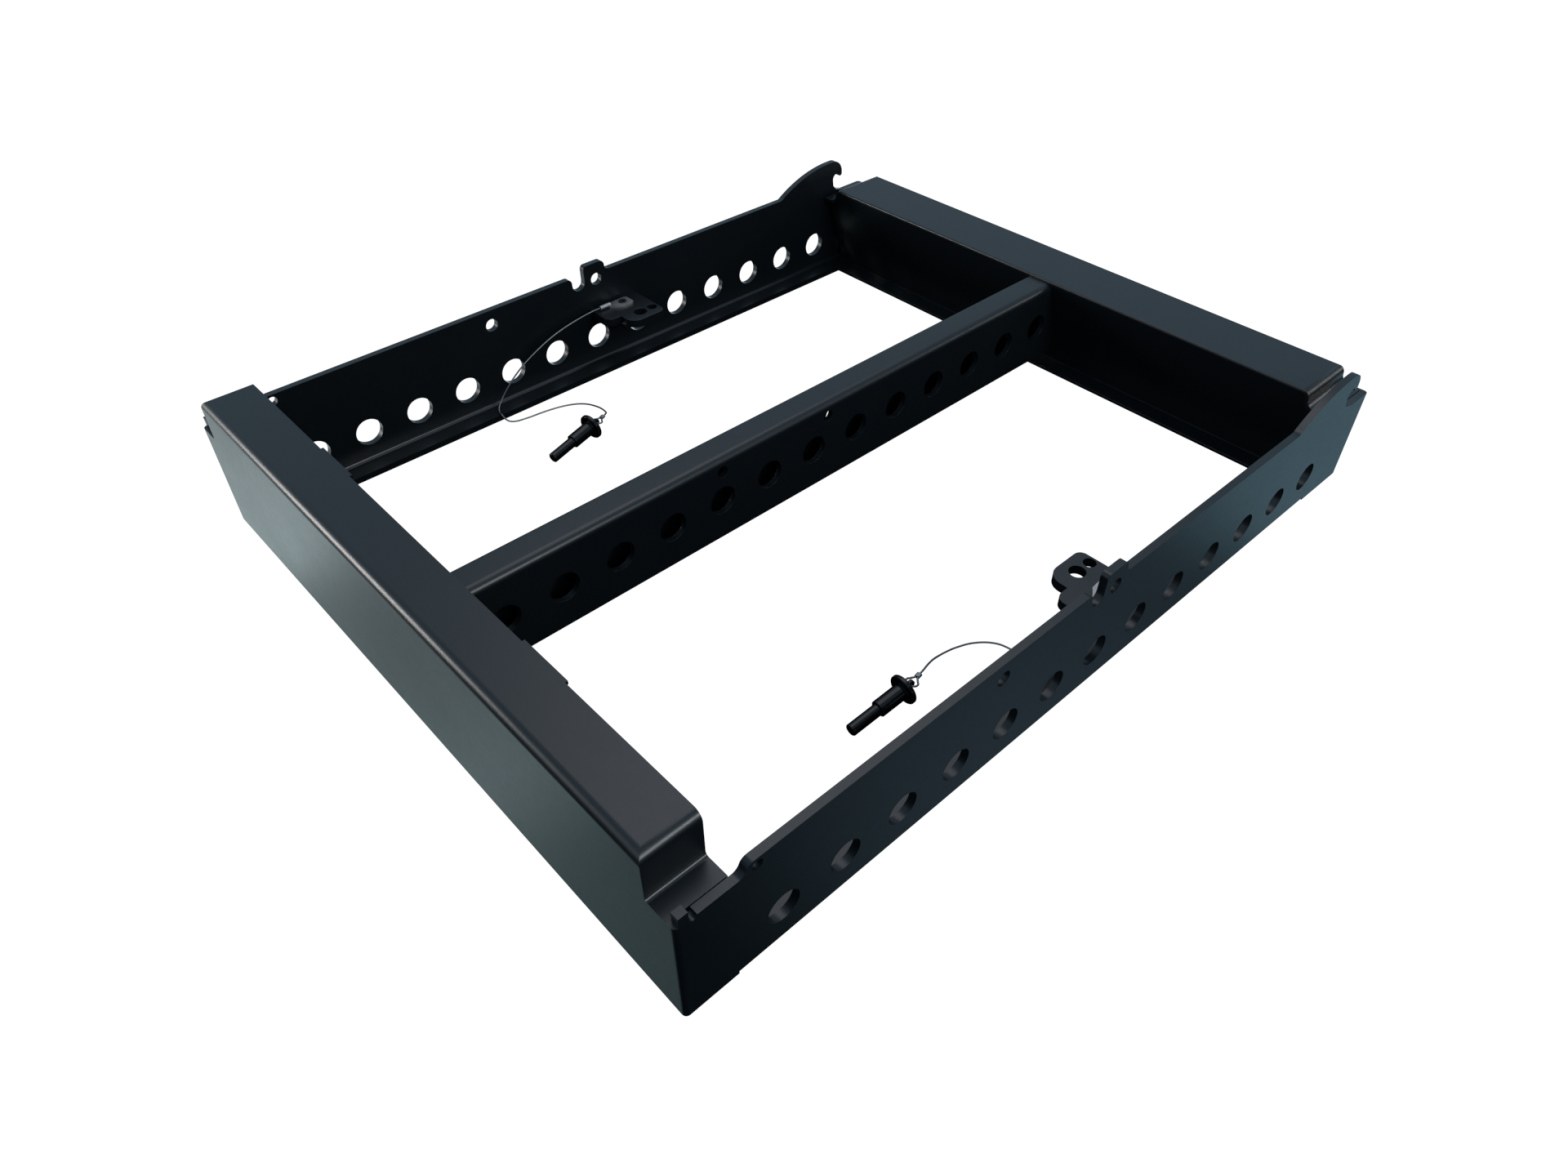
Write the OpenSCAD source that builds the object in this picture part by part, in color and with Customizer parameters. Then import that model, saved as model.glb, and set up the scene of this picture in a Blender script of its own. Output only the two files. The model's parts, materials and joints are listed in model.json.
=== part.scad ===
// Low rectangular rigging frame: two drilled side plates joined by a front beam, a rear beam and a
// drilled centre beam. Two stepped locking pins hang on short wire lanyards inside it.
// Origin: centre of the footprint, at floor level. +X runs to the hook end, +Z up.

/* [Frame] */
// Overall length, front face to rear face
frame_l = 750; // [740:1:760]
// Overall width, outer face to outer face of the side plates
frame_w = 606; // [560:2:700]
// Distance between neighbouring rigging holes
hole_pitch = 50; // [46:0.5:52]
// Number of rigging holes in each row
hole_count = 13; // [3:2:13]
// Diameter of the rigging holes
hole_d = 25; // [16:0.5:28]
// Thickness of the folded sheet of the front and rear beams
sheet_t = 3; // [2:0.5:4]
// Outer radius of the folded sheet's bends
bend_r = 7; // [5:0.5:7]

/* [Side plates] */
// Thickness of a side plate and of its foot flange
plate_t = 6; // [4:0.5:8]
// Height of the plate's front half
plate_h = 101; // [99:0.5:104]
// Height of the plate's rear half, before the hook
plate_rear_h = 98; // [96:0.5:99]
// Width of the foot flange, inside the plate
foot_w = 19; // [12:1:24]
// Height of the plate's row of rigging holes
side_row_z = 32.5; // [28:0.5:40]
// Diameter of the lifting lug's hole and of the accessory hole
lug_hole_d = 12; // [6:0.5:14]

/* [Front beam] */
// Depth of the front beam, front to back
front_depth = 41; // [36:1:45]
// Height of the front beam
front_h = 129; // [124:1:135]
// Height of its side shelves
front_shelf_z = 93; // [91:0.5:95]

/* [Rear beam] */
// Depth of the rear beam, front to back
rear_depth = 61; // [58:1:61]
// Height of the rear beam
rear_h = 98; // [97:0.5:99]
// Height of its side shelves
rear_shelf_z = 84; // [82:0.5:84]
// How far the foot of its inner wall is set back
rear_lean = 27; // [20:1:27]

/* [Centre beam] */
// Width of the centre beam
beam_w = 30; // [28:1:40]
// Height of its top face
beam_top = 95; // [95]
// Height of its open lower edge
beam_low = 18.5; // [10:0.5:30]
// Thickness of its walls
beam_t = 5; // [4:0.5:6]
// Height of its row of rigging holes
beam_row_z = 55; // [48:0.5:60]

/* [Brackets] */
// Thickness of a bracket
bracket_t = 8; // [6:0.5:8]
// Height of a bracket's top face
bracket_top = 63; // [58:1:70]
// Diameter of the bracket's larger hole
bracket_hole_d = 13; // [10:0.5:13]
// Diameter of the bracket's smaller hole
bracket_small_d = 10; // [6:0.5:10]

/* [Locking pins] */
// Diameter of the pin's thin end
tip_d = 9.5; // [6:0.5:10]
// Length of the thin end
tip_l = 26; // [20:1:30]
// Diameter of the pin's thick shank
shank_d = 13; // [11:0.5:14]
// Length of the thick shank
shank_l = 23; // [20:1:25]
// Diameter of the pin's flange
flange_d = 24; // [20:0.5:26]
// Diameter of the lanyard wire
wire_d = 1.6; // [1.2:0.1:2]

/* [Hidden] */
$fn = 64;

front_x = -frame_l / 2;
rear_x = frame_l / 2;
plate_x0 = front_x + sheet_t;
plate_x1 = rear_x - sheet_t;
half_w = frame_w / 2;
wall_y = half_w - plate_t;
foot_y = wall_y - foot_w;
foot_weld_r = 3.75;
foot_round_r = 3;
corner_r = 3.5;
end_y = half_w - 24.5;
fold_y = end_y - bend_r;
front_in_x = front_x + front_depth;
rear_in_x = rear_x - rear_depth;
front_cove_r = 3;
rear_cove_r = 7;
seam = 0.7;
rear_edge_r = 2;
gap = 0.1;

// Small holes of a side plate, as places in X and Z
lug_hole_at = [5, 92];
accessory_hole_at = [-113, 86.5];
step_hole_at = [-319, 95];
step_hole_d = 8;

// Lug and notch in the top edge of a side plate: centres in X, radii
lug_foot_r = 5.25;
lug_rear_x = [10.5, 21];
lug_front_x = -4.5;
lug_front_r = 4;
lug_top = plate_rear_h + 2 * lug_foot_r;
notch_c = [-15.5, 93.5];
notch_r = 7;
notch_corner_x = -27.5;
notch_corner_r = 5;

// Slot that frees the tab at a side plate's front end
slot_x = -362.75;
slot_r = 2.75;

// Centres of the step's two arcs along X
step_top_x = -321.2;
step_foot_x = -332.5;

// Step in the top edge of a side plate, beside the front beam
step_r = 6;
step_angle = acos(1 - (plate_h - front_shelf_z) / 2 / step_r);

// Hook at the rear end of a side plate
hump_r = 141.5;
hump_c = [325, -22];
nose_r = 14;
nose_c = [327.5, 105.5];
throat_r = 5.5;
throat_c = [333.5, 99.5];
nose_tip_r = 2.5;
nose_tip_c = [339, 103.8];
lip = [[345, rear_shelf_z], [339, 86], [333, 88], [328.8, 92.5]];

// Stop tabs on the front beam's top panel
ear_l = 45;
ear_y = 133;
ear_out = 2;

// Foot flanges and slope of the beams' inner walls
front_flange_w = 21;
rear_flange_w = 8;
rear_slope_out = 4.5;
rear_slope_in = 0.5;

// Small holes through the centre beam
small_hole_x = [-99, 15.5];
small_hole_z = 82;
small_hole_d = 10;

// Outline of a bracket: corner centres in X and Y, with their radii
cheek_c = [1.5, 274.6];
cheek_r = 8;
waist = [8.5, 266.6];
head_c = [21, 260.1];
head_r = 12.5;
tail_c = [42.5, 254.1];
tail_r = 6.5;
bracket_x0 = -6.5;
bracket_hole_at = [28, 261];
bracket_small_at = [42.5, 261.3];

// Locking pin, measured along its axis from the tip
pin_chamfer = 0.8;
step_chamfer = 0.6;
flange_x = tip_l + shank_l;
flange_t = 4;
tab_x = flange_x + flange_t;
tab_t = 2.6;
tab_r = 4;
eye_x = tab_x + tab_r;
eye_hole_r = 1.3;
pin_tilt = atan((flange_d - tip_d) / 2 / flange_x);
pin_z = tip_d / 2 * cos(pin_tilt) - pin_chamfer * sin(pin_tilt);

// Wire eye and its sleeve, measured from the pin's cross hole
loop_droop = 5;
loop_yaw = 15;
loop_arc_r = 3.2;
loop_straight = 1.6;
loop_arc_end = 35;
loop_neck = [[7.4, 2.4, 0], [8.7, 1.4, 0]];
ferrule_x = 10;
ferrule_l = 4.5;
ferrule_wall = 0.5;
strand_y = wire_d / 2 + 0.1;

// Resting place and heading of each pin's tip on the floor
left_pin_at = [-134.1, 187.5];
left_pin_heading = 9.65;
right_pin_at = [-162.8, -221.5];
right_pin_heading = -3.6;

// Terminal on the bracket
palm_t = 2;
palm_x = [10, 20, 31];
palm_y = [279.5, 281.5, 290, 293];
palm_r = 3;
barrel_l = 12;
barrel_y = 289;
barrel_r = 2.3;
barrel_z = bracket_top + barrel_r + 0.1;
rivet_at = [25, 286];
rivet_r = 3;
eyelet_r = 4.2;
eyelet_bore_r = 2;
eyelet_foot = 1;
eyelet_head = 0.8;

// Lanyard routes, from the terminal's barrel to the ferrule at the pin
left_route = [[0, 289, 65.4], [-12, 289, 65.1], [-35, 288, 62.6], [-56, 287.5, 58],
    [-74, 287, 51.5], [-91, 287, 43], [-105, 287, 33.5], [-116, 287, 23.5], [-124, 286.5, 15],
    [-129, 284.5, 9.5], [-131, 280.5, 7.2], [-131.5, 276.5, 6.9], [-131, 272.3, 4.4],
    [-128.2, 268.7, 1.9], [-122.5, 266, 0.9], [-116, 264.4, 0.9], [-108.8, 263.1, 0.9],
    [-99.9, 262.3, 0.9], [-89, 260.7, 0.9], [-77.8, 258.1, 0.9], [-69.8, 255, 0.9],
    [-62.1, 250.4, 0.9], [-56.2, 244.2, 0.9], [-52.9, 237, 1.1], [-52.1, 228.5, 2.4],
    [-54, 218.7, 5], [-57.4, 210.4, 8.4], [-61.3, 205.3, 11], [-65.4, 203, 11.7]];
right_route = [[0, -289, 65.4], [-12, -289, 64.8], [-26, -289.5, 61], [-38, -287, 52.5],
    [-46, -285, 40], [-49, -283, 26], [-47.5, -281, 14.5], [-43, -278.5, 7.8], [-37, -274, 5.6],
    [-30, -268, 2.2], [-24, -262, 0.9], [-19, -256, 0.9], [-16, -249.5, 0.9],
    [-15.8, -243.7, 0.9], [-18.2, -235.5, 0.9], [-24.1, -227.7, 0.9], [-33.2, -221, 0.9],
    [-44, -216.6, 0.9], [-52.5, -215, 1.6], [-61.3, -214.9, 3.4], [-70.2, -216, 6.1],
    [-79, -218.5, 9.2], [-87.5, -221.2, 11.3], [-92.4, -222.2, 11.7]];

// Points along an arc
function arc(c, r, a0, a1, n = 8) =
    [for (i = [0:n]) let (a = a0 + (a1 - a0) * i / n) [c[0] + r * cos(a), c[1] + r * sin(a)]];

// A half outline followed by its mirror image
function both_sides(half) =
    concat(half, [for (i = [len(half) - 1:-1:0]) [-half[i][0], half[i][1]]]);

function unit(v) = v / norm(v);

// Point of a smooth curve through p1 and p2
function spline(p0, p1, p2, p3, t) =
    0.5 * (2 * p1 + (p2 - p0) * t + (2 * p0 - 5 * p1 + 4 * p2 - p3) * t * t
    + (3 * p1 - p0 - 3 * p2 + p3) * t * t * t);

// The route with extra points between its own
function smooth_route(p, n = 2) = let (last = len(p) - 1)
    concat([for (i = [0:last - 1], k = [0:n - 1])
        spline(p[max(i - 1, 0)], p[i], p[i + 1], p[min(i + 2, last)], k / n)], [p[last]]);

// Sets of axes carried along a route without twist
function carry(t, side, i) = i >= len(t) ? [] : let (s = unit(side - (side * t[i]) * t[i]))
    concat([[s, cross(t[i], s)]], carry(t, s, i + 1));

module tube(p, r, sides = 8) {
    last = len(p) - 1;
    t = [for (i = [0:last]) unit(p[min(i + 1, last)] - p[max(i - 1, 0)])];
    start = abs(t[0][2]) < 0.9 ? [0, 0, 1] : [0, 1, 0];
    axes = carry(t, start, 0);
    points = [for (i = [0:last], k = [0:sides - 1]) let (a = 360 * k / sides)
        p[i] + r * cos(a) * axes[i][0] + r * sin(a) * axes[i][1]];
    walls = [for (i = [0:last - 1], k = [0:sides - 1]) let (n = (k + 1) % sides)
        [i * sides + k, (i + 1) * sides + k, (i + 1) * sides + n, i * sides + n]];
    caps = [[for (k = [0:sides - 1]) k], [for (k = [sides - 1:-1:0]) last * sides + k]];
    polyhedron(points, concat(walls, caps));
}

// Outline in Y and Z, extruded from x0 to x1
module along_x(x0, x1) translate([x0, 0, 0]) rotate([90, 0, 90]) linear_extrude(x1 - x0) children();

// Outline in X and Z, extruded from y0 to y1
module along_y(y0, y1) translate([0, y1, 0]) rotate([90, 0, 0]) linear_extrude(y1 - y0) children();

// What is outside a rounded corner of radius r, with its square corner at the origin
module corner_waste(r) difference() {
    translate([-1, -1]) square(r + 1);
    translate([r, r]) circle(r);
}

module plan_corners(side) translate([0, 0, -1]) linear_extrude(front_h + 2) {
    translate([front_x, side * half_w]) scale([1, -side]) corner_waste(corner_r);
    translate([rear_x, side * half_w]) scale([-1, -side]) corner_waste(corner_r);
}

module side_outline() polygon(concat(
    [[plate_x0, 0], [plate_x1, 0], [plate_x1, rear_shelf_z]], lip,
    arc(throat_c, throat_r, 190, 50),
    arc(nose_tip_c, nose_tip_r, 240, 360),
    arc(nose_c, nose_r, 0, 90),
    arc(hump_c, hump_r, 90, 122, 16),
    arc([lug_rear_x[1], plate_rear_h + lug_foot_r], lug_foot_r, 270, 180),
    arc([lug_rear_x[0], plate_rear_h + lug_foot_r], lug_foot_r, 0, 90),
    arc([lug_front_x, lug_top - lug_front_r], lug_front_r, 90, 180),
    arc(notch_c, notch_r, 0, -180, 12),
    arc([notch_corner_x, plate_h - notch_corner_r], notch_corner_r, 0, 90),
    arc([step_top_x, plate_h - step_r], step_r, 90, 90 + step_angle),
    arc([step_foot_x, front_shelf_z + step_r], step_r, step_angle - 90, -90),
    arc([slot_x, front_shelf_z], slot_r, 0, -180),
    [[slot_x - slot_r, plate_h], [plate_x0, plate_h]]));

module rigging_holes(z) for (i = [0:hole_count - 1])
    translate([(i - (hole_count - 1) / 2) * hole_pitch, z]) circle(d = hole_d);

// The plate at +Y; the other is its mirror image
module side_plate() difference() {
    union() {
        along_y(wall_y, half_w) difference() {
            side_outline();
            rigging_holes(side_row_z);
            for (at = [lug_hole_at, accessory_hole_at])
                translate(at) circle(d = lug_hole_d);
            translate(step_hole_at) circle(d = step_hole_d);
        }
        translate([plate_x0, foot_y, 0]) cube([plate_x1 - plate_x0, foot_w + 1, plate_t]);
        along_x(plate_x0, plate_x1) polygon(concat(
            [[wall_y - foot_weld_r, plate_t - 1], [wall_y + 1, plate_t - 1],
                [wall_y + 1, plate_t + foot_weld_r]],
            arc([wall_y - foot_weld_r, plate_t + foot_weld_r], foot_weld_r, 0, -90)));
    }
    plan_corners(1);
    along_x(front_in_x - 1, rear_in_x + 1) translate([half_w, 0]) scale([-1, 1]) corner_waste(foot_round_r);
}

module left_side_plate() color([0.05, 0.06, 0.07]) side_plate();

module right_side_plate() color([0.05, 0.06, 0.07]) mirror([0, 1, 0]) side_plate();

// Half of the outer surface of a beam's end, from the shelf in to the flat top
function beam_edge(top, shelf, cove, off) = concat(
    arc([end_y + cove, shelf + cove], cove + off, 270, 180),
    arc([fold_y, top - bend_r], bend_r - off, 0, 90));

// The folded sheet of a beam: flat top, end walls and side shelves
module beam_sheet(top, shelf, cove) {
    outer = concat([[wall_y - seam, shelf]], beam_edge(top, shelf, cove, 0));
    inner = concat([[wall_y, shelf - sheet_t]], beam_edge(top, shelf, cove, sheet_t));
    difference() {
        polygon(both_sides(concat([[wall_y - seam, shelf - sheet_t - 0.5]], outer)));
        polygon(both_sides(concat(
            [[wall_y + 1, shelf - sheet_t - 1], [wall_y + 1, shelf - sheet_t]], inner)));
    }
}

// The upright outer wall of a beam
module beam_wall(top, shelf, cove) polygon(both_sides(concat(
    [[half_w, 0], [half_w, shelf]], beam_edge(top, shelf, cove, 0))));

// What fits inside a beam's folded sheet, clear of the side plates' foot flanges
module beam_inside(top, shelf, cove) polygon(both_sides(concat(
    [[foot_y - gap, 0], [foot_y - gap, plate_t + gap],
        [wall_y - foot_weld_r - 1, plate_t + gap],
        [wall_y - foot_weld_r - 1, shelf - sheet_t - gap]],
    beam_edge(top, shelf, cove, sheet_t + gap))));

module front_beam() color([0.05, 0.06, 0.07]) difference() {
    union() {
        along_x(front_x, plate_x0) beam_wall(front_h, front_shelf_z, front_cove_r);
        along_x(plate_x0 - 1, front_in_x) beam_sheet(front_h, front_shelf_z, front_cove_r);
        along_y(-fold_y, fold_y) polygon(concat(
            [[plate_x0 - 1, front_h - sheet_t + 1], [plate_x0 - 1, front_h - bend_r]],
            arc([front_x + bend_r, front_h - bend_r], bend_r - sheet_t, 180, 90),
            [[front_x + bend_r, front_h - sheet_t + 1]]));
        for (s = [-1, 1])
            translate([front_in_x - 1, s * ear_y - ear_l / 2, front_h - sheet_t])
                cube([ear_out + 1, ear_l, sheet_t]);
    }
    along_y(-half_w, half_w) translate([front_x, front_h]) scale([1, -1]) corner_waste(bend_r);
    for (s = [-1, 1]) plan_corners(s);
}

module front_beam_inner() color([0.06, 0.07, 0.08]) {
    along_x(front_in_x - sheet_t, front_in_x)
        beam_inside(front_h, front_shelf_z, front_cove_r);
    translate([front_in_x - 1, -foot_y + gap, 0])
        cube([front_flange_w + 1, 2 * (foot_y - gap), sheet_t]);
}

module rear_beam() color([0.05, 0.06, 0.07]) difference() {
    union() {
        along_x(plate_x1, rear_x) beam_wall(rear_h, rear_shelf_z, rear_cove_r);
        along_x(rear_in_x, plate_x1 + 1) beam_sheet(rear_h, rear_shelf_z, rear_cove_r);
    }
    along_y(-half_w, half_w) translate([rear_x, rear_h]) scale([-1, -1]) corner_waste(rear_edge_r);
    along_y(-half_w, half_w) translate([rear_in_x, rear_h]) scale([1, -1]) corner_waste(rear_edge_r);
    for (s = [-1, 1]) plan_corners(s);
}

// Sloping inner wall of the rear beam, with its foot turned in
module rear_beam_inner() color([0.06, 0.07, 0.08]) intersection() {
    along_y(-half_w, half_w) polygon([[rear_in_x + rear_slope_in, rear_h - sheet_t - gap],
        [rear_in_x + sheet_t + rear_slope_in, rear_h - sheet_t - gap],
        [rear_in_x + rear_lean + rear_slope_out, 0], [rear_in_x + rear_flange_w, 0],
        [rear_in_x + rear_flange_w, sheet_t],
        [rear_in_x + rear_lean + rear_slope_in, sheet_t]]);
    along_x(rear_in_x - 1, plate_x1) beam_inside(rear_h, rear_shelf_z, rear_cove_r);
}

// Folded channel, open below
module beam_channel() {
    outer_r = beam_t + 1.5;
    outer = arc([beam_w / 2 - outer_r, beam_top - outer_r], outer_r, 0, 90);
    inner = arc([beam_w / 2 - outer_r, beam_top - outer_r], outer_r - beam_t, 0, 90);
    difference() {
        polygon(both_sides(concat([[beam_w / 2, beam_low]], outer)));
        polygon(both_sides(concat([[beam_w / 2 - beam_t, beam_low - 1]], inner)));
    }
}

module centre_beam() color([0.05, 0.06, 0.07]) difference() {
    intersection() {
        along_x(front_in_x, rear_x) beam_channel();
        along_y(-beam_w, beam_w) polygon([[front_in_x, 0], [front_in_x, beam_top],
            [rear_in_x + rear_slope_in - gap, beam_top],
            [rear_in_x + rear_slope_in - gap + rear_lean, sheet_t]]);
    }
    along_y(-beam_w, beam_w) {
        rigging_holes(beam_row_z);
        for (x = small_hole_x)
            translate([x, small_hole_z]) circle(d = small_hole_d);
    }
}

// Flat bracket on the inside of the plate at +Y
module bracket() translate([0, 0, bracket_top - bracket_t]) linear_extrude(bracket_t) difference() {
    polygon(concat([[bracket_x0, wall_y]], arc(cheek_c, cheek_r, 180, 270), [waist],
        arc(head_c, head_r, 180, 270), arc(tail_c, tail_r, 270, 360),
        [[tail_c[0] + tail_r, wall_y]]));
    translate(bracket_hole_at) circle(d = bracket_hole_d);
    translate(bracket_small_at) circle(d = bracket_small_d);
    translate(rivet_at) circle(rivet_r + gap);
}

module left_bracket() color([0.06, 0.07, 0.08]) bracket();

module right_bracket() color([0.06, 0.07, 0.08]) mirror([0, 1, 0]) bracket();

// Strap terminal: palm under the eyelet, barrel round the wire's end
module terminal() {
    translate([0, 0, bracket_top]) linear_extrude(palm_t) difference() {
        polygon(concat(
            [[palm_x[0], barrel_y - barrel_r], [palm_x[0], barrel_y + barrel_r],
                [palm_x[1], palm_y[3]]],
            arc([palm_x[2], palm_y[2]], palm_r, 90, 0),
            arc([palm_x[2], palm_y[1]], palm_r, 0, -90), [[palm_x[1], palm_y[0]]]));
        translate(rivet_at) circle(rivet_r + gap);
    }
    translate([0, barrel_y, barrel_z]) rotate([0, 90, 0]) cylinder(h = barrel_l, r = barrel_r);
}

module left_terminal() color([0.75, 0.77, 0.8]) terminal();

module right_terminal() color([0.75, 0.77, 0.8]) mirror([0, 1, 0]) terminal();

// Hollow rivet through the terminal and the bracket
module rivet() translate([rivet_at[0], rivet_at[1], bracket_top - bracket_t]) difference() {
    union() {
        translate([0, 0, -eyelet_foot]) cylinder(h = eyelet_foot, r = eyelet_r);
        translate([0, 0, -eyelet_foot / 2]) cylinder(h = bracket_t + palm_t + 1, r = rivet_r);
        translate([0, 0, bracket_t + palm_t]) cylinder(h = eyelet_head, r = eyelet_r);
    }
    translate([0, 0, -2 * eyelet_foot])
        cylinder(h = bracket_t + palm_t + 4 * eyelet_foot, r = eyelet_bore_r);
}

module left_terminal_rivet() color([0.7, 0.72, 0.75]) rivet();

module right_terminal_rivet() color([0.7, 0.72, 0.75]) mirror([0, 1, 0]) rivet();

// Places its children along a pin's axis, with the pin's tip at their origin
module on_pin(at, heading)
    translate([at[0], at[1], pin_z]) rotate([0, -pin_tilt, heading]) children();

// Places its children on the wire eye, with +X towards the lanyard
module on_eye(at, heading) on_pin(at, heading)
    translate([eye_x, 0, 0]) rotate([0, pin_tilt + loop_droop, 0]) rotate([0, 0, loop_yaw]) children();

module pin() difference() {
    union() {
        rotate([0, 90, 0]) rotate_extrude() polygon([[0, 0], [tip_d / 2 - pin_chamfer, 0],
            [tip_d / 2, pin_chamfer], [tip_d / 2, tip_l], [shank_d / 2 - step_chamfer, tip_l],
            [shank_d / 2, tip_l + step_chamfer], [shank_d / 2, flange_x],
            [flange_d / 2 - pin_chamfer, flange_x], [flange_d / 2, flange_x + pin_chamfer],
            [flange_d / 2, tab_x - pin_chamfer], [flange_d / 2 - pin_chamfer, tab_x], [0, tab_x]]);
        translate([tab_x, tab_t / 2, 0]) rotate([90, 0, 0]) linear_extrude(tab_t) {
            translate([-1, -tab_r]) square([tab_r + 1, 2 * tab_r]);
            translate([tab_r, 0]) circle(tab_r);
        }
    }
    translate([eye_x, tab_t, 0]) rotate([90, 0, 0]) cylinder(h = 2 * tab_t, r = eye_hole_r);
}

module left_pin() color([0.08, 0.08, 0.09]) on_pin(left_pin_at, left_pin_heading) pin();

module right_pin() color([0.08, 0.08, 0.09]) on_pin(right_pin_at, right_pin_heading) pin();

// Closed eye of wire through the pin's cross hole
function loop_half() = concat(
    [for (p = arc([loop_arc_r, loop_straight], loop_arc_r, 180, loop_arc_end, 7))
        [p[0], p[1], 0]],
    loop_neck, [[ferrule_x, strand_y, 0]]);

function loop_route() = concat(
    [for (i = [len(loop_half()) - 1:-1:0]) [loop_half()[i][0], -loop_half()[i][1], 0]],
    loop_half());

module pin_loop() tube(loop_route(), wire_d / 2);

module left_pin_loop() color([0.45, 0.47, 0.5]) on_eye(left_pin_at, left_pin_heading) pin_loop();

module right_pin_loop() color([0.45, 0.47, 0.5])
    on_eye(right_pin_at, right_pin_heading) pin_loop();

// Pressed sleeve that closes the wire eye
module ferrule() translate([ferrule_x, 0, 0]) rotate([90, 0, 90]) linear_extrude(ferrule_l) {
    sleeve_r = wire_d / 2 + ferrule_wall;
    for (s = [-1, 1])
        translate([s * strand_y, 0]) circle(sleeve_r);
    translate([-strand_y, -sleeve_r]) square([2 * strand_y, 2 * sleeve_r]);
}

module left_ferrule() color([0.6, 0.62, 0.65]) on_eye(left_pin_at, left_pin_heading) ferrule();

module right_ferrule() color([0.6, 0.62, 0.65]) on_eye(right_pin_at, right_pin_heading) ferrule();

module left_lanyard() color([0.45, 0.47, 0.5]) tube(smooth_route(left_route), wire_d / 2);

module right_lanyard() color([0.45, 0.47, 0.5]) tube(smooth_route(right_route), wire_d / 2);

left_side_plate();
right_side_plate();
front_beam();
front_beam_inner();
rear_beam();
rear_beam_inner();
centre_beam();
left_bracket();
right_bracket();
left_terminal();
right_terminal();
left_terminal_rivet();
right_terminal_rivet();
left_lanyard();
right_lanyard();
left_ferrule();
right_ferrule();
left_pin_loop();
right_pin_loop();
left_pin();
right_pin();
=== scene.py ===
"""Black steel rigging frame with two tethered locking pins: finishes, wire lanyards, stage and light."""
import json
import math

import bmesh
import bpy
from mathutils import Matrix, Vector


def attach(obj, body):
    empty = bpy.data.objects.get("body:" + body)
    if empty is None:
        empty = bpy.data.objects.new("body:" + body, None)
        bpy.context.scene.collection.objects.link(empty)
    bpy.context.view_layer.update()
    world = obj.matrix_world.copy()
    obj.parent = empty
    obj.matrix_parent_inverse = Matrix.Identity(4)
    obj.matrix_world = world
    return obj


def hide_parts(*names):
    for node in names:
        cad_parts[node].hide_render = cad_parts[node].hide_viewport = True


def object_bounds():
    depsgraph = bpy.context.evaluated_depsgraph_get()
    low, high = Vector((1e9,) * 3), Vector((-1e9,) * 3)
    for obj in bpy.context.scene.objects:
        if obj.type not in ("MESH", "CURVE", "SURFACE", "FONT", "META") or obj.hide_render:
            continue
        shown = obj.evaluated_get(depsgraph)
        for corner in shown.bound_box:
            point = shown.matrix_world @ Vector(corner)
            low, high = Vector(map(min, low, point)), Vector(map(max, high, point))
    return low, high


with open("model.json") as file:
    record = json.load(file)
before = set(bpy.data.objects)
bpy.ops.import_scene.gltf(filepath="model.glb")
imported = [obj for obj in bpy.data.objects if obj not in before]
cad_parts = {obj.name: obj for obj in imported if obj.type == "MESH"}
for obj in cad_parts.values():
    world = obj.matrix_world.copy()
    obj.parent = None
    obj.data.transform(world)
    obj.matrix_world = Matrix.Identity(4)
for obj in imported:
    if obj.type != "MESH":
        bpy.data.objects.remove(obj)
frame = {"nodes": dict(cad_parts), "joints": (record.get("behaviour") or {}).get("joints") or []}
cad_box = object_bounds()
scene = bpy.context.scene
scene.view_settings.view_transform = "Standard"

# The pieces are measured in millimetres, the camera, stage and lamps in metres, and angles in degrees.
MM = 0.001
UP = Vector((0, 0, 1))

# ---------------------------------------------------------------- camera
CAMERA_AT = (-0.52683, -0.54979, 0.59112)
CAMERA_TURN = (47.242, 0.076, -42.694)
SENSOR_W = 36.0
LENS = 25.04


def make_camera():
    """A wide lens that looks down on the frame past its near front corner."""
    data = bpy.data.cameras.new("camera")
    data.sensor_width = SENSOR_W
    data.lens = LENS
    cam = bpy.data.objects.new("camera", data)
    cam.location = CAMERA_AT
    cam.rotation_euler = [math.radians(a) for a in CAMERA_TURN]
    scene.collection.objects.link(cam)
    scene.camera = cam


make_camera()

# ---------------------------------------------------------------- shapes
SHARP_FROM = 35
CORNER_FROM = 40
CORNER_STEPS = 3
SAME_POINT = 0.002
SAME_PLANE = 0.2


def add_mesh(name, bm, material, sharp_from=SHARP_FROM):
    """The bmesh as a new object, smooth except at edges sharper than an angle."""
    for face in bm.faces:
        face.smooth = True
    for edge in bm.edges:
        edge.smooth = edge.calc_face_angle(0) < math.radians(sharp_from)
    mesh = bpy.data.meshes.new(name)
    bm.to_mesh(mesh)
    bm.free()
    mesh.materials.append(material)
    piece = bpy.data.objects.new(name, mesh)
    scene.collection.objects.link(piece)
    return piece


def skin(name, rings, material, sharp_from):
    """A tube through rings of points, closed at both ends."""
    bm = bmesh.new()
    loops = [[bm.verts.new(point) for point in ring] for ring in rings]
    for low, high in zip(loops, loops[1:]):
        for k in range(len(low)):
            n = (k + 1) % len(low)
            bm.faces.new((low[k], low[n], high[n], high[k]))
    bm.faces.new(loops[0][::-1])
    bm.faces.new(loops[-1])
    bmesh.ops.recalc_face_normals(bm, faces=bm.faces)
    return add_mesh(name, bm, material, sharp_from)


def stand_for(piece, node, body):
    """The piece takes a node's place and its motion."""
    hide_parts(node)
    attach(piece, body)


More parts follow.
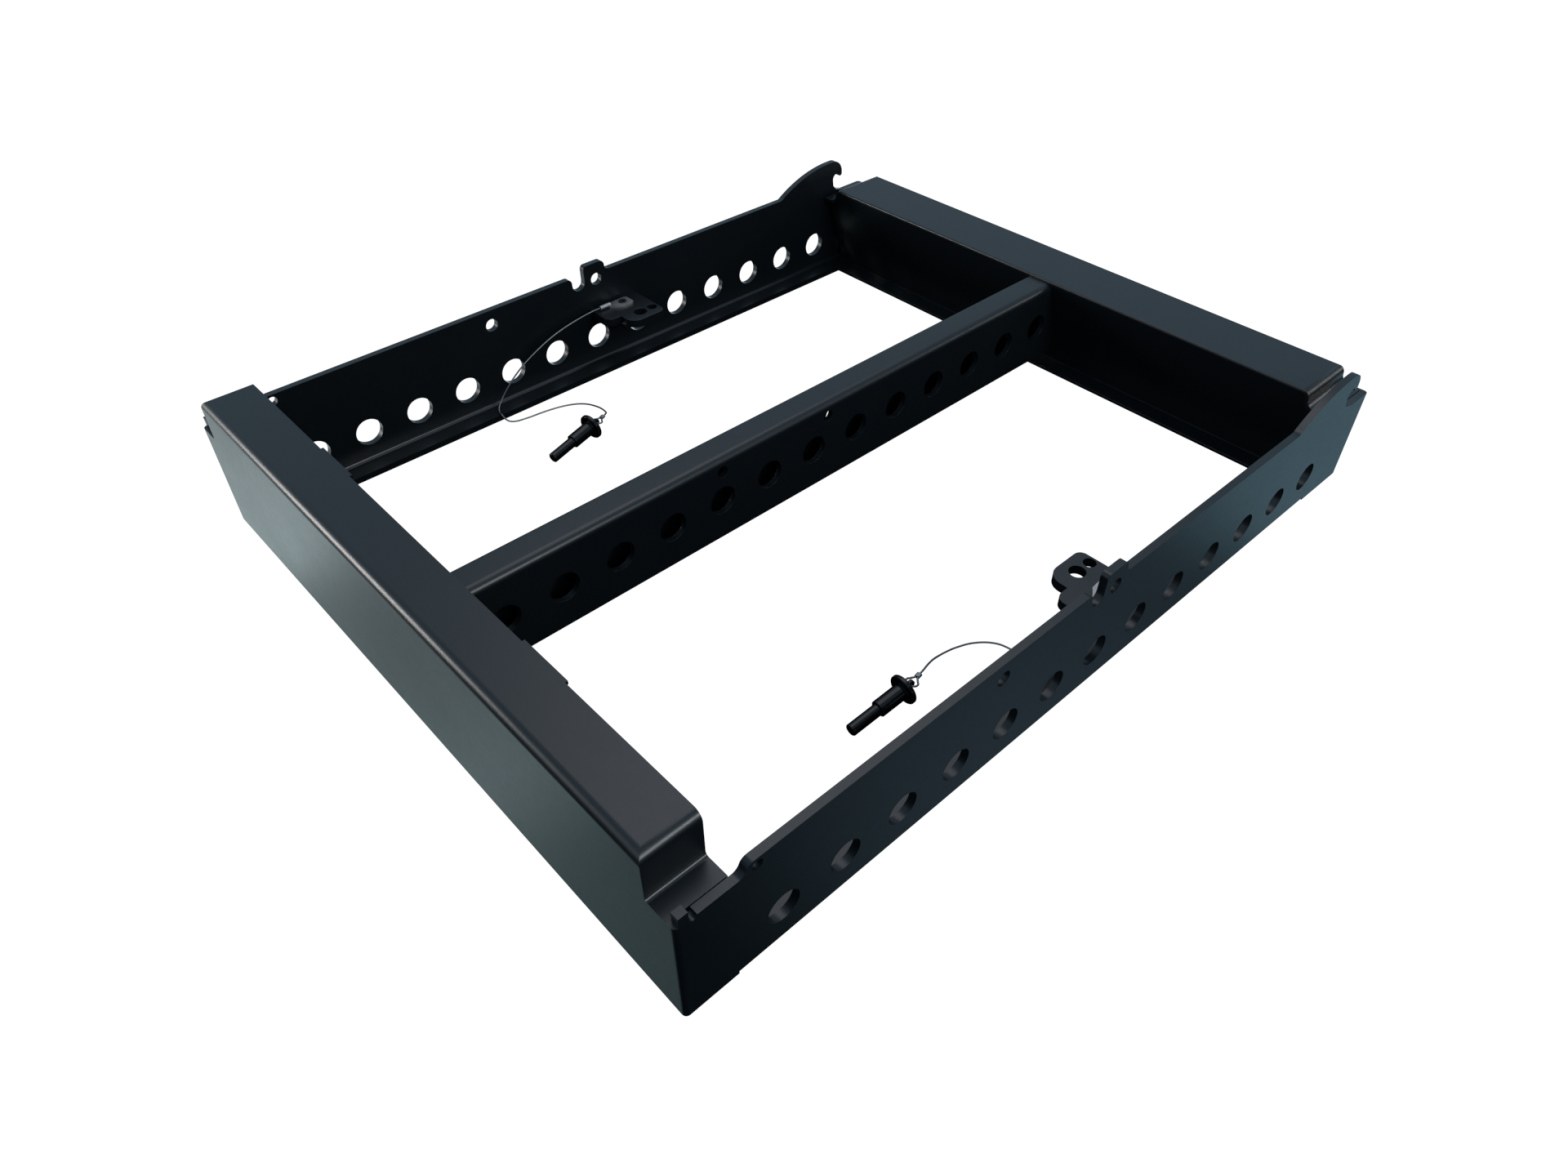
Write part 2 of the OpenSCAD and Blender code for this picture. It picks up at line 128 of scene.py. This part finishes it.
def softened(node, width, material, body, corner_from=CORNER_FROM):
    """A copy of a node with its corners rounded and marked as worn, which stands for the node."""
    bm = bmesh.new()
    bm.from_mesh(frame["nodes"][node].data)
    bmesh.ops.remove_doubles(bm, verts=bm.verts, dist=SAME_POINT * MM)
    bmesh.ops.dissolve_limit(bm, angle_limit=math.radians(SAME_PLANE), verts=bm.verts, edges=bm.edges)
    wear = bm.faces.layers.float.new("wear")
    corners = [edge for edge in bm.edges
               if len(edge.link_faces) == 2 and edge.calc_face_angle(0) > math.radians(corner_from)]
    made = bmesh.ops.bevel(bm, geom=corners, offset=width * MM, offset_type="OFFSET",
                           segments=CORNER_STEPS, profile=0.5, affect="EDGES", clamp_overlap=True)
    for face in made["faces"]:
        face[wear] = 1.0
    piece = add_mesh(node + "_painted", bm, material)
    weighted = piece.modifiers.new("flat_faces", "WEIGHTED_NORMAL")
    weighted.keep_sharp = True
    stand_for(piece, node, body)


# ---------------------------------------------------------------- materials
class Shader:
    """A Principled material, put together node by node, with patterns sized in the object's metres."""

    def __init__(self, name, **fixed):
        self.mat = bpy.data.materials.new(name)
        self.mat.use_nodes = True
        self.tree = self.mat.node_tree
        self.bsdf = self.tree.nodes["Principled BSDF"]
        for key, value in fixed.items():
            self.bsdf.inputs[key.replace("_", " ")].default_value = value
        self.place = self.tree.nodes.new("ShaderNodeTexCoord").outputs["Object"]

    def link(self, output, socket):
        self.tree.links.new(output, socket)

    def surface(self, color, rough, normal):
        """What the finish shows at each point."""
        self.link(color, self.bsdf.inputs["Base Color"])
        self.link(rough, self.bsdf.inputs["Roughness"])
        self.link(normal, self.bsdf.inputs["Normal"])
        return self.mat

    def noise(self, scale, detail):
        node = self.tree.nodes.new("ShaderNodeTexNoise")
        node.inputs["Scale"].default_value = scale
        node.inputs["Detail"].default_value = detail
        self.link(self.place, node.inputs["Vector"])
        return node.outputs["Fac"]

    def ramp(self, value, low, high, start=0.0, end=1.0):
        """The value's stretch from start to end, mapped on low to high and held beyond them."""
        node = self.tree.nodes.new("ShaderNodeMapRange")
        node.inputs["From Min"].default_value = start
        node.inputs["From Max"].default_value = end
        node.inputs["To Min"].default_value = low
        node.inputs["To Max"].default_value = high
        self.link(value, node.inputs["Value"])
        return node.outputs["Result"]

    def combine(self, operation, first, second):
        node = self.tree.nodes.new("ShaderNodeMath")
        node.operation = operation
        self.link(first, node.inputs[0])
        self.link(second, node.inputs[1])
        return node.outputs["Value"]

    def blend(self, share, first, second):
        """A mix of two colours, each a tuple or another node's output."""
        node = self.tree.nodes.new("ShaderNodeMix")
        node.data_type = "RGBA"
        self.link(share, node.inputs["Factor"])
        # A Mix node has sockets for each kind of value, and these two are its colours
        for socket, value in zip(node.inputs[6:8], (first, second)):
            if isinstance(value, tuple):
                socket.default_value = (*value, 1)
            else:
                self.link(value, socket)
        return node.outputs[2]

    def bump(self, height, strength, distance, normal=None):
        node = self.tree.nodes.new("ShaderNodeBump")
        node.inputs["Strength"].default_value = strength
        node.inputs["Distance"].default_value = distance
        self.link(height, node.inputs["Height"])
        if normal:
            self.link(normal, node.inputs["Normal"])
        return node.outputs["Normal"]

    def wear(self):
        """1 in spots along the piece's rounded corners and 0 elsewhere."""
        node = self.tree.nodes.new("ShaderNodeAttribute")
        node.attribute_name = "wear"
        spots = self.ramp(self.noise(scale=90, detail=6), low=0, high=1, start=0.52, end=0.68)
        return self.combine("MULTIPLY", node.outputs["Fac"], spots)


def frame_paint():
    """Satin black powder coat, a little cloudy, with a fine peel and greyer spots on its corners."""
    s = Shader("frame_paint", Specular_IOR_Level=0.5)
    cloud = s.noise(scale=7, detail=3)
    color = s.blend(cloud, (0.0035, 0.0050, 0.0065), (0.0065, 0.0088, 0.0110))
    worn = s.blend(s.wear(), color, (0.022, 0.023, 0.024))
    patches = s.ramp(s.noise(scale=220, detail=4), low=-0.03, high=0.03)
    rough = s.combine("ADD", s.ramp(cloud, low=0.30, high=0.38), patches)
    peel = s.bump(s.noise(scale=420, detail=3), strength=0.03, distance=0.00012)
    grain = s.bump(s.noise(scale=1500, detail=2), strength=0.02, distance=0.00004, normal=peel)
    return s.surface(worn, rough, grain)


def pin_black():
    """Glossy blackened steel, rubbed to grey in spots on its corners."""
    s = Shader("pin_black", Specular_IOR_Level=0.32)
    cloud = s.noise(scale=60, detail=4)
    color = s.blend(cloud, (0.0025, 0.0025, 0.003), (0.006, 0.006, 0.007))
    worn = s.blend(s.wear(), color, (0.05, 0.05, 0.052))
    relief = s.bump(s.noise(scale=700, detail=3), strength=0.12, distance=0.0002)
    return s.surface(worn, s.ramp(cloud, low=0.14, high=0.24), relief)


def bare_metal(name, dark, light, rough):
    """Unpainted metal, blotchy between two tones."""
    s = Shader(name, Metallic=1.0)
    cloud = s.noise(scale=160, detail=5)
    relief = s.bump(s.noise(scale=900, detail=3), strength=0.15, distance=0.0002)
    return s.surface(s.blend(cloud, dark, light), s.ramp(cloud, *rough), relief)


PAINT = frame_paint()
PIN = pin_black()
WIRE = bare_metal("wire_rope", dark=(0.16, 0.165, 0.17), light=(0.30, 0.305, 0.31), rough=(0.35, 0.55))
SLEEVE = bare_metal("ferrule_metal", dark=(0.20, 0.20, 0.205), light=(0.34, 0.34, 0.35), rough=(0.30, 0.45))
TERMINAL = bare_metal("terminal_metal", dark=(0.38, 0.35, 0.34), light=(0.52, 0.49, 0.48), rough=(0.40, 0.55))
EYELET = bare_metal("rivet_steel", dark=(0.05, 0.05, 0.052), light=(0.12, 0.12, 0.12), rough=(0.35, 0.5))

# ---------------------------------------------------------------- lanyards
WIRE_D = 1.6
LAY_L = 9.0
STRANDS = 6
STRAND_SIDES = 4
# Distance between the wire's rings, as a share of its diameter
RING_STEP = 0.32
# Radius between two strands, as a share of the radius on a strand
VALLEY = 0.84
WIRE_SHARP_FROM = 60
# Each wire from its terminal's barrel to its ferrule
ROUTES = {
    "left": [
        (0, 289, 65.4), (-12, 289, 65.1), (-35, 288, 62.6), (-56, 287.5, 58), (-74, 287, 51.5),
        (-91, 287, 43), (-105, 287, 33.5), (-116, 287, 23.5), (-124, 286.5, 15),
        (-129, 284.5, 9.5), (-131, 280.5, 7.2), (-131.5, 276.5, 6.9), (-131, 272.3, 4.4),
        (-128.2, 268.7, 1.9), (-122.5, 266, 0.9), (-116, 264.4, 0.9), (-108.8, 263.1, 0.9),
        (-99.9, 262.3, 0.9), (-89, 260.7, 0.9), (-77.8, 258.1, 0.9), (-69.8, 255, 0.9),
        (-62.1, 250.4, 0.9), (-56.2, 244.2, 0.9), (-52.9, 237, 1.1), (-52.1, 228.5, 2.4),
        (-54, 218.7, 5), (-57.4, 210.4, 8.4), (-61.3, 205.3, 11), (-65.4, 203, 11.7)],
    "right": [
        (0, -289, 65.4), (-12, -289, 64.8), (-26, -289.5, 61), (-38, -287, 52.5), (-46, -285, 40),
        (-49, -283, 26), (-47.5, -281, 14.5), (-43, -278.5, 7.8), (-37, -274, 5.6),
        (-30, -268, 2.2), (-24, -262, 0.9), (-19, -256, 0.9), (-16, -249.5, 0.9),
        (-15.8, -243.7, 0.9), (-18.2, -235.5, 0.9), (-24.1, -227.7, 0.9), (-33.2, -221, 0.9),
        (-44, -216.6, 0.9), (-52.5, -215, 1.6), (-61.3, -214.9, 3.4), (-70.2, -216, 6.1),
        (-79, -218.5, 9.2), (-87.5, -221.2, 11.3), (-92.4, -222.2, 11.7)],
}
ROUTE_STEPS = 12
# The wire eye lies in its own plane: X from the pin's cross hole to the lanyard, Y across it
HINGES = {joint["child"]: joint for joint in frame["joints"]}
EYE_DROOP = 5
EYE_YAW = 15
EYE_ARC_R = 3.2
EYE_ARC_END = 35
EYE_ARC_STEPS = 14
EYE_STRAIGHT = 1.6
EYE_NECK = ((7.4, 2.4), (8.7, 1.4))
STRAND_Y = WIRE_D / 2 + 0.1
FERRULE_X = 10.0
FERRULE_L = 4.5
FERRULE_WALL = 0.5
FERRULE_RINGS = 36
FERRULE_SIDES = 32
FERRULE_LIP = 0.35
FERRULE_SHARP_FROM = 40
# Radius at the ferrule's ends, as a share of the rest
MOUTH = 0.75
CRIMPS = 3
# The end share of the ferrule that stays round
CRIMP_FROM = 0.1
CRIMP_DEPTH = 0.13


def spline(p0, p1, p2, p3, t):
    """Point of a smooth curve through p1 and p2, at a share t of the way."""
    return 0.5 * (2 * p1 + (p2 - p0) * t + (2 * p0 - 5 * p1 + 4 * p2 - p3) * t * t
                  + (3 * p1 - p0 - 3 * p2 + p3) * t ** 3)


def smooth_route(route):
    """Points in metres of the smooth curve through a route."""
    p = [Vector(q) * MM for q in route]
    last = len(p) - 1
    fine = [spline(p[max(i - 1, 0)], p[i], p[i + 1], p[min(i + 2, last)], k / ROUTE_STEPS)
            for i in range(last) for k in range(ROUTE_STEPS)]
    return fine + [p[last]]


def even_route(points, step):
    """The same line with points at equal distances of about a step, and its length."""
    passed = [0.0]
    for a, b in zip(points, points[1:]):
        passed.append(passed[-1] + (b - a).length)
    length = passed[-1]
    count = round(length / step)
    even = []
    leg = 0
    for i in range(count + 1):
        want = length * i / count
        while leg < len(points) - 2 and passed[leg + 1] < want:
            leg += 1
        share = (want - passed[leg]) / (passed[leg + 1] - passed[leg])
        even.append(points[leg].lerp(points[leg + 1], min(share, 1)))
    return even, length


def wire_ring(centre, side, up, turn):
    """The wire's outline, with one lobe for each strand."""
    ring = []
    for k in range(STRANDS * STRAND_SIDES):
        a = 2 * math.pi * k / (STRANDS * STRAND_SIDES)
        lobe = abs(math.cos(STRANDS / 2 * (a - turn)))
        r = WIRE_D * MM / 2 * (VALLEY + (1 - VALLEY) * lobe)
        ring.append(centre + (side * math.cos(a) + up * math.sin(a)) * r)
    return ring


def wire_rope(name, points):
    """A stranded wire along the points, and its length: its lobes wind round it once in a lay."""
    path, length = even_route(points, WIRE_D * MM * RING_STEP)
    last = len(path) - 1
    rings = []
    side = UP
    for i, centre in enumerate(path):
        ahead = (path[min(i + 1, last)] - path[max(i - 1, 0)]).normalized()
        side = (side - ahead * side.dot(ahead)).normalized()
        turn = 2 * math.pi * length * i / last / (LAY_L * MM)
        rings.append(wire_ring(centre, side, ahead.cross(side), turn))
    return skin(name, rings, WIRE, WIRE_SHARP_FROM), length


def eye_matrix(side):
    """Place of a wire eye at its pin's hinge, drooping and turned towards the lanyard."""
    joint = HINGES[side + "_pin"]
    hinge = Vector(joint["axis"])
    droop = math.radians(EYE_DROOP)
    yaw = math.radians(EYE_YAW)
    ahead = hinge.cross(UP) * math.cos(droop) - UP * math.sin(droop)
    along = ahead * math.cos(yaw) + hinge * math.sin(yaw)
    across = hinge * math.cos(yaw) - ahead * math.sin(yaw)
    turn = Matrix((along, across, along.cross(across))).transposed().to_4x4()
    return Matrix.Translation(joint["pos_m"]) @ turn


def eye_points(side):
    """The wire's closed eye: straight through the pin, round on both sides, into the ferrule."""
    half = []
    for i in range(EYE_ARC_STEPS + 1):
        a = math.radians(180 - (180 - EYE_ARC_END) * i / EYE_ARC_STEPS)
        half.append((EYE_ARC_R * (1 + math.cos(a)), EYE_STRAIGHT + EYE_ARC_R * math.sin(a)))
    half += [*EYE_NECK, (FERRULE_X, STRAND_Y)]
    outline = [(x, -y) for x, y in reversed(half)] + half
    place = eye_matrix(side)
    return [place @ (Vector((x, y, 0)) * MM) for x, y in outline]


def ferrule(side):
    """Oval sleeve pressed round both strands, with rounded ends and a row of crimps."""
    place = eye_matrix(side)
    rings = []
    for i in range(FERRULE_RINGS + 1):
        t = i / FERRULE_RINGS
        from_end = min(t, 1 - t)
        lip = math.sqrt(1 - max(0.0, 1 - from_end * FERRULE_L / FERRULE_LIP) ** 2)
        r = (WIRE_D / 2 + FERRULE_WALL) * (MOUTH + (1 - MOUTH) * lip)
        crimp = max(0.0, math.cos(2 * math.pi * CRIMPS * (t - 0.5))) ** 2 * (from_end > CRIMP_FROM)
        ring = []
        for k in range(FERRULE_SIDES):
            a = 2 * math.pi * k / FERRULE_SIDES
            y = r * math.cos(a) + math.copysign(STRAND_Y, math.cos(a))
            z = r * math.sin(a) * (1 - CRIMP_DEPTH * crimp)
            ring.append(place @ (Vector((FERRULE_X + FERRULE_L * t, y, z)) * MM))
        rings.append(ring)
    return skin(side + "_sleeve", rings, SLEEVE, FERRULE_SHARP_FROM)


def lanyards():
    """On each side a loose wire from its terminal, ending in a ferrule and an eye through the pin."""
    for side, route in ROUTES.items():
        line = smooth_route(route)
        rope, length = wire_rope(side + "_wire", line)
        loop, _ = wire_rope(side + "_wire_eye", eye_points(side))
        sleeve = ferrule(side)
        stand_for(rope, side + "_lanyard", "frame")
        stand_for(loop, side + "_pin_loop", "frame")
        stand_for(sleeve, side + "_ferrule", "frame")


lanyards()

# ---------------------------------------------------------------- painted steel and fittings
PLATES = ["left_side_plate", "right_side_plate", "left_bracket", "right_bracket", "centre_beam"]
SHEETS = ["front_beam", "front_beam_inner", "rear_beam", "rear_beam_inner"]
# How much each kind of edge is rounded
PLATE_EDGE = 0.7
SHEET_EDGE = 0.45
TERMINAL_EDGE = 0.3
SMALL_EDGE = 0.25
PIN_CORNER_FROM = 30


def painted_frame():
    """The welded plates and folded sheets, each rounded to suit its gauge."""
    for node in PLATES:
        softened(node, PLATE_EDGE, PAINT, "frame")
    for node in SHEETS:
        softened(node, SHEET_EDGE, PAINT, "frame")


def fittings():
    """The terminals with their rivets, and the pins."""
    for side in ("left", "right"):
        softened(side + "_terminal", TERMINAL_EDGE, TERMINAL, "frame")
        softened(side + "_terminal_rivet", SMALL_EDGE, EYELET, "frame")
        softened(side + "_pin", SMALL_EDGE, PIN, side + "_pin", PIN_CORNER_FROM)


painted_frame()
fittings()

# ---------------------------------------------------------------- stage
FLOOR_HALF = 30
FLOOR_Z = -0.0005
DOME_R = 28
DOME_STEPS = 3
PALE = 1.05
DARK = 0.0
# How much shorter and narrower than the frame the dark sheet is
SHEET_LESS = (0.005, 0.016)
SHEET_Z = -0.002


def glow_material(name, strength):
    """White light of one strength, which is plain black at 0."""
    mat = bpy.data.materials.new(name)
    mat.use_nodes = True
    nodes = mat.node_tree.nodes
    nodes.clear()
    out = nodes.new("ShaderNodeOutputMaterial")
    glow = nodes.new("ShaderNodeEmission")
    glow.inputs["Strength"].default_value = strength
    mat.node_tree.links.new(glow.outputs["Emission"], out.inputs["Surface"])
    return mat


def pale_floor():
    """A plain floor that runs into a dome. Only the camera sees them."""
    bm = bmesh.new()
    bmesh.ops.create_grid(bm, x_segments=1, y_segments=1, size=FLOOR_HALF)
    bmesh.ops.translate(bm, verts=bm.verts, vec=(0, 0, FLOOR_Z))
    bmesh.ops.create_icosphere(bm, subdivisions=DOME_STEPS, radius=DOME_R)
    shell = add_mesh("floor_and_dome", bm, glow_material("pale", PALE))
    shell.visible_shadow = False
    shell.visible_diffuse = False
    shell.visible_glossy = False


def dark_sheet():
    """A sheet across the frame's windows that keeps the low lamps off its inner faces."""
    size = [high - low - less for low, high, less in zip(*cad_box, SHEET_LESS)]
    bm = bmesh.new()
    bmesh.ops.create_grid(bm, x_segments=1, y_segments=1, size=0.5)
    bmesh.ops.scale(bm, verts=bm.verts, vec=(*size, 1))
    bmesh.ops.translate(bm, verts=bm.verts, vec=(0, 0, SHEET_Z))
    sheet = add_mesh("dark_sheet", bm, glow_material("dark", DARK))
    sheet.visible_camera = False


pale_floor()
dark_sheet()

# ---------------------------------------------------------------- light
SKY = (0.565, 0.80, 1.0)
SKY_STRENGTH = 0.52
SKY_FROM = -0.05
SKY_FULL = 0.15
# Places that the lamps point at
MIDDLE = (0, 0, 0.1)
FRONT_WALL = (-0.37, 0.2, 0.06)
FRONT_BEND = (-0.37, 0.0, 0.12)
FRONT_STEP = (-0.35, -0.28, 0.12)
NEAR_PLATE = (0.2, -0.30, 0.05)
REAR_CORNER = (0.3, 0.3, 0.05)
REAR_STEP = (0.34, -0.28, 0.09)
# Widths and heights of the lamps
LARGE = (1.4, 1.4)
BROAD = (1.2, 0.8)
MEDIUM = (0.9, 0.9)
STRIP = (0.35, 0.9)
SMALL = (0.35, 0.35)


def make_sky():
    """Soft bluish light that comes only from above the horizon."""
    world = bpy.data.worlds.new("studio")
    scene.world = world
    world.use_nodes = True
    tree = world.node_tree
    background = tree.nodes["Background"]
    background.inputs["Color"].default_value = (*SKY, 1)
    coord = tree.nodes.new("ShaderNodeTexCoord")
    split = tree.nodes.new("ShaderNodeSeparateXYZ")
    tree.links.new(coord.outputs["Generated"], split.inputs["Vector"])
    rise = tree.nodes.new("ShaderNodeMapRange")
    rise.inputs["From Min"].default_value = SKY_FROM
    rise.inputs["From Max"].default_value = SKY_FULL
    rise.inputs["To Max"].default_value = SKY_STRENGTH
    tree.links.new(split.outputs["Z"], rise.inputs["Value"])
    tree.links.new(rise.outputs["Result"], background.inputs["Strength"])


def lamp(name, at, aim, size, watts, color):
    """A rectangular soft box that the camera doesn't see."""
    data = bpy.data.lights.new(name, "AREA")
    data.shape = "RECTANGLE"
    data.size, data.size_y = size
    data.energy = watts
    data.color = color
    soft_box = bpy.data.objects.new(name, data)
    soft_box.location = at
    soft_box.visible_camera = False
    soft_box.rotation_euler = (Vector(aim) - Vector(at)).to_track_quat("-Z", "Y").to_euler()
    scene.collection.objects.link(soft_box)


def soft_boxes():
    """Two boxes from above, and low ones that stand for the light a pale floor gives back."""
    lamp("top_box", (0.5, 0.5, 1.9), MIDDLE, LARGE, 7.8, (1.0, 0.95, 0.98))
    lamp("near_box", (-0.3, -1.6, 1.1), MIDDLE, BROAD, 5.6, (0.71, 0.92, 1.0))
    lamp("front_far", (-0.8, 1.9, -0.8), FRONT_WALL, MEDIUM, 2.7, (0.81, 0.97, 1.0))
    lamp("front_mid", (-0.85, 1.15, -1.05), FRONT_WALL, MEDIUM, 1.15, (0.75, 0.96, 1.0))
    lamp("front_near", (-0.9, 0.5, -1.2), FRONT_WALL, MEDIUM, 0.6, (0.65, 0.95, 1.0))
    lamp("side_rear", (1.9, -0.9, -0.8), NEAR_PLATE, MEDIUM, 1.55, (0.47, 0.81, 1.0))
    lamp("side_mid", (0.8, -0.9, -1.2), NEAR_PLATE, MEDIUM, 0.5, (0.50, 0.80, 1.0))
    lamp("back_low", (2.3, 2.3, -0.6), REAR_CORNER, LARGE, 14, (0.80, 0.92, 1.0))


def rim_lamps():
    """Small lamps that draw bright lines along the bends."""
    lamp("rim_front", (-1.9, 1.9, 0.45), FRONT_BEND, STRIP, 24, (1.0, 0.97, 0.95))
    lamp("rim_near", (0.25, -1.9, 1.1), FRONT_STEP, SMALL, 8, (1.0, 0.98, 0.97))
    lamp("rim_rear", (2.2, -1.3, 0.75), REAR_STEP, SMALL, 3, (1.0, 0.90, 0.78))


make_sky()
soft_boxes()
rim_lamps()
